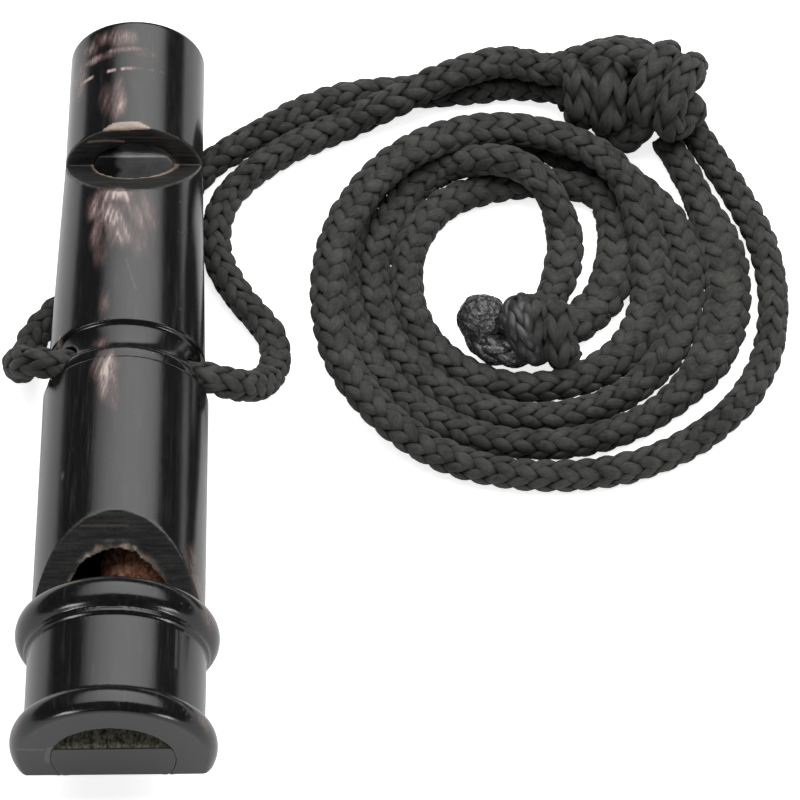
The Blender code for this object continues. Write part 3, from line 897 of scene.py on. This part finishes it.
def braid_rings(points, phase=0.0, twist=0.0, squeeze=None, size=1.0, up=(0, 0, 1)):
    """Rings of every yarn of a round braid, then of its core, and how far each point stands proud.

    Its two hands of yarns pass over and under each other. twist is in turns per 100 mm. squeeze gives
    each point's thickness along Z and across it.
    """
    path = even(points, BRAID_STEP)
    _, normal, binormal = frames_along(path, up)
    rows = len(path)
    reach = np.arange(rows) * BRAID_STEP
    roll = twist * math.tau * reach / 100.0
    rings = []
    for hand, k in itertools.product((1, -1), range(YARNS_EACH_WAY)):
        spot = np.column_stack([reach / 6.0, np.full(rows, k + 10.0 * hand), np.full(rows, phase * 7.0)])
        weave = math.tau * k / YARNS_EACH_WAY + phase + hand * math.tau * reach / (LAY * size)
        wave = hand * np.cos(COLUMNS * weave)
        angle = weave + roll + 0.09 * value_noise(spot, 81)
        out = np.cos(angle)[:, None] * normal + np.sin(angle)[:, None] * binormal
        centre = path + out * ((YARN_R + CRIMP * wave + 0.05 * value_noise(spot * 2.0, 82)) * size)[:, None]
        along = unit(np.gradient(centre, axis=0))
        across = unit(np.cross(along, out))
        rise = np.cross(across, along)
        loose = 1.0 + 0.08 * value_noise(spot, 83) + 0.08 * value_noise(spot * (5.0, 1.0, 1.0), 84)
        width = (YARN_WIDTH + HAND_WIDTH * hand) * size * (1.0 + WAVE_WIDTH * wave) * loose
        rings.append(ellipses(centre, across, rise, width, YARN_HEIGHT * size * loose, YARN_SIDES))
    core_r = np.full(rows, CORE_R * size)
    rings.append(ellipses(path, normal, binormal, core_r, core_r, CORE_SIDES))
    scale = squeeze(path) if squeeze else np.ones((rows, 2))
    gap_shade_crowns = []
    for ring in rings:
        offset = ring - path[:, None, :]
        # How far each point stands proud, which the cord material uses to paint shade into the gaps.
        gap_shade_crowns.append(smoothstep(CROWN_LOW, CROWN_HIGH, np.linalg.norm(offset, axis=2) / size))
        ring[:, :, 2] = path[:, None, 2] + offset[:, :, 2] * scale[:, None, 0]
        ring[:, :, :2] = path[:, None, :2] + offset[:, :, :2] * scale[:, None, 1, None]
    return rings, gap_shade_crowns


def braid_object(name, rings, gap_shade_crowns, material, first=0, last=None):
    """A mesh from the rows first to last of a braid's rings, marked where its yarns stand proud, for painted
    shade in the gaps.
    """
    verts, faces, uvs = [], [], []
    base = 0
    for index, ring in enumerate(rings):
        ring = ring[first:last]
        rows, sides = ring.shape[:2]
        verts.append(ring.reshape(-1, 3))
        faces += [tuple(base + i for i in face) for face in tube_faces(rows, sides)]
        base += rows * sides
        around = np.tile(np.arange(sides) / sides + index * 0.37, (rows, 1))
        along = np.tile((np.arange(rows) * BRAID_STEP)[:, None], (1, sides))
        uvs.append(np.stack([around, along], -1).reshape(-1, 2))
    braided = mesh_object(name, np.concatenate(verts), faces, material, uvs=np.concatenate(uvs))
    set_mask(braided.data, "gap_shade_crown", np.concatenate([gap_shade_crown[first:last].ravel() for gap_shade_crown in gap_shade_crowns]))
    return braided


def braid(name, points, material, **shape):
    return braid_object(name, *braid_rings(grounded(points), **shape), material)


# ---- Cord: the three lengths ---------------------------------------------
def bridle_points():
    """From the big knot, up to the whistle's right side, through it and back under it to the knot."""
    hole = HOLE_Z - GROUND_Z
    drop = math.tan(HOLE_TILT)
    right_leg = [
        (57, 101, 9), (54.8, 101.8, 7.6), (52.6, 102.3, 6.6), (47, 104.4, OVER_H),
        (43, 103.6, OVER_H), (38, 101.4, OVER_H), (32.5, 99.2, 4.4), (26, 97.3, 2),
        (20.3, 94.5), (14.9, 90.4), (11.4, 86.2), (10, 82), (10.1, 76.6), (12.8, 70.6), (16.6, 65),
        (17.4, 61.5, 2.1), (16.9, 57.5, 3.7), (15.6, 54, 6.7), (13.7, 51.4, 10.2), (11.7, 50.4, 12.5),
    ]
    through = [(x, HOLE_Y, hole - x * drop) for x in (9.8, 7.6, 0, -7.6, -9.6)]
    left_leg = [
        (-11.5, 51, 15.9), (-12.9, 53.4, 12.6), (-13.2, 56.8, 6.6), (-13.2, 61, 2.7), (-12.3, 64.8),
        (-10, 68), (0, 79.5, 1.4), (8.2, 90.4), (12, 93.8), (17.3, 97.4), (20.6, 99.6),
        (26, 101.8), (32.5, 102.7), (38, 102.7), (43, 103.2), (47, 103.8), (52.6, 102.6, 2.8),
        (54.6, 101.2, 3.8), (57, 99.4, 5.2),
    ]
    return with_heights(right_leg + through + left_leg)


def outer_strand_points():
    """Neck strand that starts outermost, climbs over the other and ends innermost."""
    turns = coil([
        (52, 32.6), (42, 30.5), (32, 29.3), (20, 28.9), (0, 28.6), (-30, 28.9), (-60, 27.9), (-90, 26.9),
        (-120, 27.4, 2.6), (-150, 27.6, 4.6), (-180, 26.4, OVER_H), (-205, 25.8, OVER_H),
        (-230, 25.3, OVER_H), (-250, 24.2, OVER_H), (-270, 22.4, OVER_H), (-300, 19.2, OVER_H),
        (-330, 15.2, 3.6), (-360, 13.6), (-430, 13.4), (-490, 15.4), (-515, 16.1), (-540, 16.8),
        (-585, 18.4), (-612, 17.6), (-630, 17.3),
    ])
    tail = [(55.2, 87.2), (58.3, 85.5), (59.9, 81.2), (59.7, 75.5), (58.3, 70.2), (55.5, 66.8)]
    return [*turns, *with_heights(tail)]


def inner_strand_points():
    """Neck strand that stays on the ground, and crosses over the other near its end."""
    turns = coil([
        (55.5, 29.2), (42, 25.9), (30, 24.2), (12, 23.4), (0, 23.1), (-13, 22.8), (-50, 22.3),
        (-90, 22.4), (-120, 23), (-150, 23.7), (-190, 25), (-220, 26.8), (-245, 26.7), (-280, 21.9),
        (-310, 20.7), (-340, 18.9), (-370, 17.6), (-430, 18.1), (-490, 19.3), (-510, 19.9),
        (-540, 20.9), (-590, 22.9),
    ])
    tail = [
        (38.7, 89.9, 2.4), (42.3, 89.3, 4.6), (45.8, 88.2, 6.15), (48.9, 87, OVER_H), (51.1, 84.9, 5.3),
        (52.9, 81.7, 3.4), (53.6, 78.4), (53.3, 75.3), (52.1, 71.1),
    ]
    return [*turns, *with_heights(tail)]


def bridle_squeeze(path):
    """The bridle is tight in the whistle's hole, flat under the whistle, and loose near the big knot."""
    x, y, z = path.T
    near = np.clip((np.abs(x) - 4.0) / 4.0, 0.0, 1.0)
    under = (y > 66.0) & (y < 92.0) & (z < -8.0)
    high = np.where(under, 0.76 + 0.24 * near, 1.0)
    loose = 0.12 * smoothstep(14.0, 20.0, x) * smoothstep(90.0, 96.0, y)
    tight = 0.06 * fade(9.0, 12.0, np.abs(x)) * smoothstep(-4.0, 0.0, z)
    return np.column_stack([high - tight, 2.0 - high + loose - tight])


def coil_place(path):
    """Angle in degrees and radius of points about the coil's centre."""
    across = path[:, :2] - COIL
    return np.degrees(np.arctan2(across[:, 1], across[:, 0])), np.linalg.norm(across, axis=1)


def settled(path):
    """The neck strands spread where they lie against one another, on the coil's left and right."""
    angle, radius = coil_place(path)
    x, y, _ = path.T
    left = smoothstep(78.0, 108.0, angle % 360.0) * fade(235.0, 262.0, angle % 360.0)
    right = smoothstep(51.0, 54.0, x) * smoothstep(54.0, 64.0, y) * fade(25.5, 26.5, radius)
    right *= fade(78.0, 88.0, y)
    near_end = 0.16 * right * fade(14.0, 17.0, radius) * fade(72.0, 77.0, y)
    return np.column_stack([1.0 - 0.06 * left - 0.04 * right, 1.0 + 0.13 * left + 0.24 * right + near_end])


def settled_outer(path):
    """The outer strand spreads further where it lies on the inner one."""
    over = smoothstep(3.5, 5.5, path[:, 2] - GROUND_Z)
    return settled(path) * np.column_stack([1.0 - 0.04 * over, 1.0 + 0.10 * over])


def settled_inner(path):
    """The inner strand's outermost turn lies a little flattened on its right."""
    angle, radius = coil_place(path)
    amount = smoothstep(20.6, 22.0, radius) * smoothstep(-52.0, -30.0, angle) * fade(16.0, 36.0, angle)
    return settled(path) * np.column_stack([1.0 - 0.08 * amount, 1.0 + 0.24 * amount])


# ---- Cord: knots ---------------------------------------------------------
KNOT_UP = (0.3, 0.2, 1.0)
WRAP_SAMPLES = 18
SWING_POST = joint_place("neck_loop_swing")[:2]
SWING_ROOM = 6.4
LOWEST_H = 2.1
OVER_ROOTS_H = 6.0
TAIL_ROWS = 6
SEAL_SHIFT = (0.45, 0.0, 0.3)
SEAL_R = 2.9


def wraps(centre, along, radii, pitch, turns=2.0):
    """Points of a loop wound turns times about a level axis, starting and ending underneath."""
    t = np.linspace(0.0, turns, round(turns * WRAP_SAMPLES) + 1)
    angle = -math.pi / 2 + math.tau * t
    along = np.array(along) / np.linalg.norm(along)
    axis = np.array([along[1], -along[0]])
    flat = (radii[0] * np.cos(angle))[:, None] * along + (pitch * (t - turns / 2))[:, None] * axis
    return np.column_stack([centre[:2] + flat, centre[2] + radii[1] * np.sin(angle)])


def over_roots(points):
    """Keep cord above the two neck strands where they swing out from under the knot."""
    points = np.array(points, float)
    near = fade(SWING_ROOM - 1.6, SWING_ROOM, np.hypot(*(points[:, :2] - SWING_POST).T))
    points[:, 2] = np.maximum(points[:, 2], LOWEST_H + (OVER_ROOTS_H - LOWEST_H) * near)
    return points


def tie(pieces, body, node, turn):
    """Lengths of cord that stand together for a knot. A piece is name: (points, thickness, material)."""
    for index, (name, (points, size, material)) in enumerate(pieces.items()):
        piece = braid(name, points, material, phase=turn * index, size=size, up=KNOT_UP)
        stand_for(piece, body, node if index == 0 else None)


def make_lanyard_knot(material):
    """The big overhand knot: wraps in front, a lobe to the right, and strands across its top."""
    front = wraps((59.6, 98.9, 6), (0.06, 1), (3.7, 3.1), 0.8, 1.25)
    side = wraps((55.7, 99.3, 5.7), (-0.05, 1), (3.5, 3.1), 0.8, 1.25)
    lobe = wraps((67.1, 98.2, 7.3), (0.55, 0.83), (4.4, 3.3), 3.8)
    over = [
        (52.6, 102.3, 6.6), (54.8, 102, 8), (57.4, 101.7, 9.7), (60.6, 101.7, 10.3),
        (63.8, 101.2, 10), (66.4, 99.6, 9), (67.8, 97.8, 7.4),
    ]
    back = [
        (54.4, 101, 5), (56.8, 103.4, 6.9), (61, 104.2, 8), (65.2, 103, 7.8), (67.8, 100.6, 6.8),
    ]
    through = [
        (52.6, 102.6, 2.8), (54.6, 101.2, 3.8), (57, 99.6, 5.4), (60.6, 99.4, 6), (64.6, 99.2, 6.8),
        (68, 98, 7.2),
    ]
    core = [(57, 98.8, 4.4), (60.5, 98.3, 4.2), (63.5, 98.1, 4.4), (66.5, 98.6, 5.6)]
    under = [(58.6, 97.4, 4.2), (59.7, 95.3, 3.2), (61.7, 94, 2.9), (63.6, 94.7, 4.5), (65, 96.4, 6.6)]
    tie({
        "knot_front": (front, 1.25, material),
        "knot_side": (side, 1, material),
        "knot_lobe": (over_roots([(63.4, 99.2, 7.2), *lobe, (67.8, 97.6, 7.2)]), 1.06, material),
        "knot_over": (over, 1.1, material),
        "knot_back": (back, 1.05, material),
        "knot_through": (through, 1, material),
        "knot_core": (over_roots(core), 1, material),
        "knot_under": (under, 1, material),
    }, "bridle", "lanyard_knot", 0.35)


def make_end_knot(material, singed, melted):
    """The small knot that joins the strands, half melted beside its sealed end."""
    loops = wraps((50.3, 62.9, 4.4), (0.22, 1), (2.6, 2.4), 3.3)
    turns = np.radians(np.arange(150, 431, 20))
    ring = np.column_stack([3.7 * np.cos(turns), 2.3 * np.sin(turns), 0.6 * np.sin(turns / 2)])
    cross = [
        (48.9, 66.2, 3.6), (47.8, 65.7, 5.7), (47, 64.2, 7), (47.1, 62.3, 7.2), (47.9, 60.6, 5.9),
        (48.6, 59.8, 3.9),
    ]
    tail = [(49, 62.8, 5), (46.8, 63.4, 5.4), (45, 64, 5.4), (43.2, 64.4, 5.2)]
    tie({
        "end_knot_wraps": (loops, 1, material),
        "end_knot_ring": (ring + (46.2, 62.8, 3.2), 1, melted),
        "end_knot_cross": (cross, 1, singed),
        "end_knot_tail": (tail, 1, melted),
    }, "loop_end", "end_knot", 0.5)
    seal = rough_ball("sealed_bead", node_ball("sealed_end")[0] + SEAL_SHIFT, SEAL_R, melted, [
        (2.2, 0.35, False), (0.9, 0.16, True), (0.4, 0.06, False),
    ])
    stand_for(seal, "loop_end", "sealed_end")


def make_neck_strand(name, node, points, link, material, **shape):
    """A neck strand, with its last stretch as a piece of its own."""
    rings, gap_shade_crowns = braid_rings(grounded([*points, *link]), **shape)
    path = rings[-1].mean(axis=1)
    strand_end = grounded(points)[-1]
    split = int(np.argmin(np.linalg.norm(path - strand_end, axis=1))) - TAIL_ROWS
    strand = braid_object(name, rings, gap_shade_crowns, material, 0, split + 1)
    stand_for(strand, "neck_loop", node)
    tail = braid_object(name + "_tail", rings, gap_shade_crowns, material, split, None)
    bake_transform(tail)


# ---- Build the object ----------------------------------------------------
cord = cord_material("braided_cord", (0.04, 0.04, 0.0365), 0.75, 0.22)
singed_cord = cord_material("singed_cord", grey(0.02), 0.36, 0.75)
melted_cord = melted_material()
planed_horn = block_material()

stand_for(make_horn(), "whistle", "horn_body")
trill_plug = make_plug("trill_plug", TRILL_BORE_R, 0.0, TRILL_WALL[0], TRILL_FLOOR_Z, planed_horn, bite=True)
stand_for(trill_plug, "whistle", "trill_block")
tone_plug = make_plug("tone_plug", TONE_BORE_R, TONE_WALL[0], LENGTH, TONE_FLOOR_Z, planed_horn, painted_light_floor=True)
stand_for(tone_plug, "whistle", "tone_block")
pea_centre, pea_r = node_ball("cork_pea")
pea = rough_ball("pea_ball", pea_centre, pea_r - PEA_DENT, cork_material(), [
    (2.6, 0.25, False), (0.9, 0.16, True), (0.35, 0.07, False),
])
stand_for(pea, "pea", "cork_pea")

bridle = braid("bridle_braid", bridle_points(), cord, phase=0.3, twist=0.5, squeeze=bridle_squeeze)
stand_for(bridle, "bridle", "bridle_cord")
make_lanyard_knot(cord)
outer_link = [(53.6, 65.2, 2.3), (51.6, 64, 3.4)]
inner_link = [(50.9, 68.6, 2.4), (49.8, 66.2, 3.4)]
make_neck_strand(
    "outer_braid", "neck_strand_outer", outer_strand_points(), outer_link, cord,
    phase=0.1, twist=0.25, squeeze=settled_outer,
)
make_neck_strand(
    "inner_braid", "neck_strand_inner", inner_strand_points(), inner_link, cord,
    phase=0.5, twist=-0.2, squeeze=settled_inner,
)
make_end_knot(cord, singed_cord, melted_cord)

# ---- Floor, light and camera ---------------------------------------------
FLOOR_SIZE = 3000.0
# Brightness across the overhead softbox, from its left edge to its right.
SOFTBOX_PROFILE = [(0, 0.2), (0.15, 0.6), (0.35, 0.98), (0.5, 1), (0.7, 0.9), (0.88, 0.65), (1, 0.3)]
LAMP_AIM = (0, 20, 0)
WORLD_COLOUR = (0.9, 0.92, 1.0, 1)
WORLD_STRENGTH = 0.08
CAMERA_PLACE = (29.9, -205.8, 376.5)
CAMERA_TILT = 34.0
CAMERA_ROLL = -0.6
CAMERA_LENS = 171.9


def make_floor():
    half = FLOOR_SIZE / 2
    corners = [(x * half, y * half, GROUND_Z) for x, y in ((-1, -1), (1, -1), (1, 1), (-1, 1))]
    mesh_object("floor", corners, [(0, 1, 2, 3)], floor_material())


def make_softbox(name, centre, size, radiance, aim=None, profile=None):
    """A rectangular lamp that shines down, or at a point, evenly or with a profile across it."""
    data = bpy.data.lights.new(name, "AREA")
    data.shape = "RECTANGLE"
    data.size = size[0] * MM
    data.size_y = size[1] * MM
    data.energy = radiance * math.pi * data.size * data.size_y
    lamp = new_object(name, data)
    lamp.location = Vector(centre) * MM
    if aim:
        lamp.rotation_euler = (Vector(aim) - Vector(centre)).to_track_quat("-Z", "Y").to_euler()
    if profile:
        shade_across(data, profile)


def shade_across(light, profile):
    """Give a lamp (position, brightness) stops from its left edge to its right."""
    light.use_nodes = True
    tree = light.node_tree
    place = tree.nodes.new("ShaderNodeNewGeometry").outputs["Parametric"]
    split = tree.nodes.new("ShaderNodeSeparateXYZ")
    ramp = tree.nodes.new("ShaderNodeValToRGB")
    ramp.color_ramp.interpolation = "B_SPLINE"
    fill_ramp(ramp.color_ramp, [(position, grey(level)) for position, level in profile])
    tree.links.new(place, split.inputs[0])
    tree.links.new(split.outputs[0], ramp.inputs[0])
    tree.links.new(ramp.outputs[0], tree.nodes["Emission"].inputs["Strength"])


def make_world():
    world = bpy.data.worlds.new("dim_room")
    world.use_nodes = True
    background = world.node_tree.nodes["Background"].inputs
    background["Color"].default_value = WORLD_COLOUR
    background["Strength"].default_value = WORLD_STRENGTH
    bpy.context.scene.world = world


def make_camera():
    data = bpy.data.cameras.new("camera")
    data.sensor_width = 36.0
    data.lens = CAMERA_LENS
    data.clip_start = 0.01
    data.clip_end = 10.0
    camera = new_object("camera", data)
    camera.location = Vector(CAMERA_PLACE) * MM
    camera.rotation_euler = (math.radians(CAMERA_TILT), 0.0, math.radians(CAMERA_ROLL))
    bpy.context.scene.camera = camera


make_floor()
make_softbox("overhead_softbox", (178, 410, 600), (1300, 1080), 3.1, profile=SOFTBOX_PROFILE)
make_softbox("left_lamp", (-340, -470, 140), (170, 130), 9.0, aim=LAMP_AIM)
make_softbox("right_lamp", (390, -470, 70), (170, 110), 9.0, aim=LAMP_AIM)
make_world()
make_camera()
bpy.context.scene.view_settings.view_transform = "Standard"
